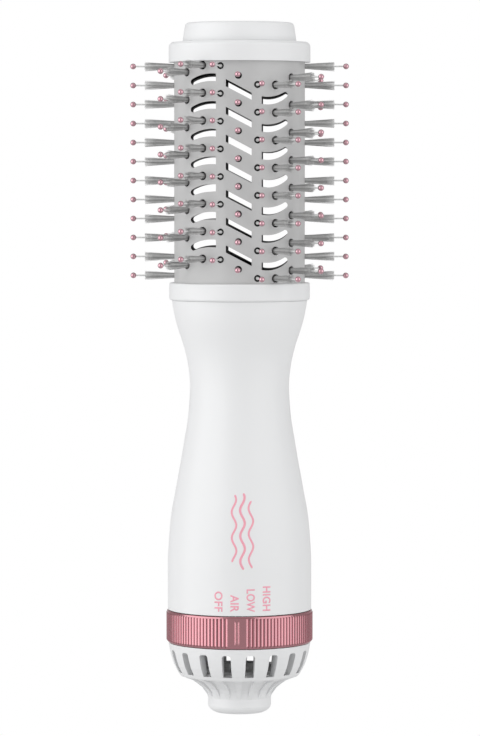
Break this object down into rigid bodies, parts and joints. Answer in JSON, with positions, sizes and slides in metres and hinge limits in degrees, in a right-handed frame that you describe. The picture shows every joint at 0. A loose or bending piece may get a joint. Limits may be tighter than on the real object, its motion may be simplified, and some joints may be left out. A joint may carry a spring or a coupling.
{
  "type": "hot air brush",
  "caption": "Upright hot air styling brush: waisted grip, ribbed speed ring, slotted round barrel with tufts and ball-tipped pins, cool tip and caged air intake.",
  "frame": {"origin": "centre of the cord neck's lower end, the brush's lowest point", "axes": "+Z along the brush's axis towards the cool tip; -Y is the front, above the speed ring's pointer; +X to the right seen from the front"},
  "size_m": [0.1124, 0.1126, 0.355],
  "materials": {
    "handle_plastic": "satin moulded",
    "barrel_coat": "satin ceramic-look coating",
    "strip_plastic": "satin",
    "carrier_black": "matt",
    "pin_nylon": "satin nylon",
    "tip_pink": "glossy ball tips",
    "tuft_nylon": "fine filaments",
    "ring_rose": "rose gold plating",
    "screw_steel": "zinc plated",
    "spring_steel": "bright",
    "board_green": "glass-fibre board",
    "duct_grey": "matt",
    "rubber_black": "matt",
    "motor_steel": "zinc plated",
    "bronze": "turned",
    "magnet_dark": "sintered ferrite",
    "winding_copper": "enamelled wire and laminations",
    "carbon": "matt carbon",
    "impeller_grey": "matt",
    "mica": "pearly mica sheet",
    "nichrome": "resistance wire",
    "thermostat_metal": "plain",
    "wire_white": "silicone sleeve",
    "bush_white": "satin",
    "retainer_dark": "matt"
  },
  "bodies": {
    "handle": {"handle_front": "handle_plastic", "handle_rear": "handle_plastic", "barrel_collar": "handle_plastic", "vent_cage": "handle_plastic", "end_cap": "handle_plastic", "cool_tip": "handle_plastic", "handle_screws": "screw_steel", "cage_screws": "screw_steel", "retainer_screws": "screw_steel", "tie_rods": "screw_steel", "barrel_front": "barrel_coat", "barrel_rear": "barrel_coat", "side_strip_left": "strip_plastic", "side_strip_right": "strip_plastic", "carrier_front": "carrier_black", "carrier_rear": "carrier_black", "pins_front": "pin_nylon", "tips_front": "tip_pink", "tufts_front": "tuft_nylon", "pins_rear": "pin_nylon", "tips_rear": "tip_pink", "tufts_rear": "tuft_nylon", "pins_left": "pin_nylon", "tips_left": "tip_pink", "tufts_left": "tuft_nylon", "pins_right": "pin_nylon", "tips_right": "tip_pink", "tufts_right": "tuft_nylon", "detent_spring": "spring_steel", "switch_board": "board_green", "switch_body": "carrier_black", "fan_guard": "carrier_black", "fan_duct": "duct_grey", "motor_mount": "rubber_black", "motor_can": "motor_steel", "motor_endcap": "carrier_black", "motor_bushes": "bronze", "motor_magnets": "magnet_dark", "motor_brushes": "carbon", "heater_boards": "mica", "heater_coil": "nichrome", "mica_tube": "mica", "thermostat": "thermostat_metal", "thermal_fuse": "thermostat_metal", "mains_wires": "wire_white", "heater_leads": "wire_white", "brush_contacts": "bronze", "swivel_retainer": "retainer_dark"},
    "dial": {"dial_ring": "ring_rose", "dial_carrier": "carrier_black"},
    "lever": {"switch_lever": "carrier_black"},
    "fan": {"impeller": "impeller_grey", "motor_shaft": "spring_steel", "rotor_core": "winding_copper", "commutator": "bronze"},
    "cord_swivel": {"cord_bush": "bush_white", "slip_rings": "bronze"}
  },
  "joints": [
    {"name": "dial_turn", "type": "hinge", "parent": "handle", "child": "dial", "pos_m": [0, 0, 0.0455], "axis": [0, 0, 1], "range_deg": [-12.8, 25.6]},
    {"name": "lever_slide", "type": "slide", "parent": "handle", "child": "lever", "axis": [1, 0, 0], "range_m": [-0.0043, 0.0085]},
    {"name": "fan_spin", "type": "hinge", "parent": "handle", "child": "fan", "pos_m": [0, 0, 0.0915], "axis": [0, 0, 1], "continuous": true},
    {"name": "cord_turn", "type": "hinge", "parent": "handle", "child": "cord_swivel", "pos_m": [0, 0, 0.0055], "axis": [0, 0, 1], "continuous": true}
  ],
  "couplings": [
    {"joint": "lever_slide", "follows": "dial_turn", "m_per_rad": 0.0186}
  ]
}
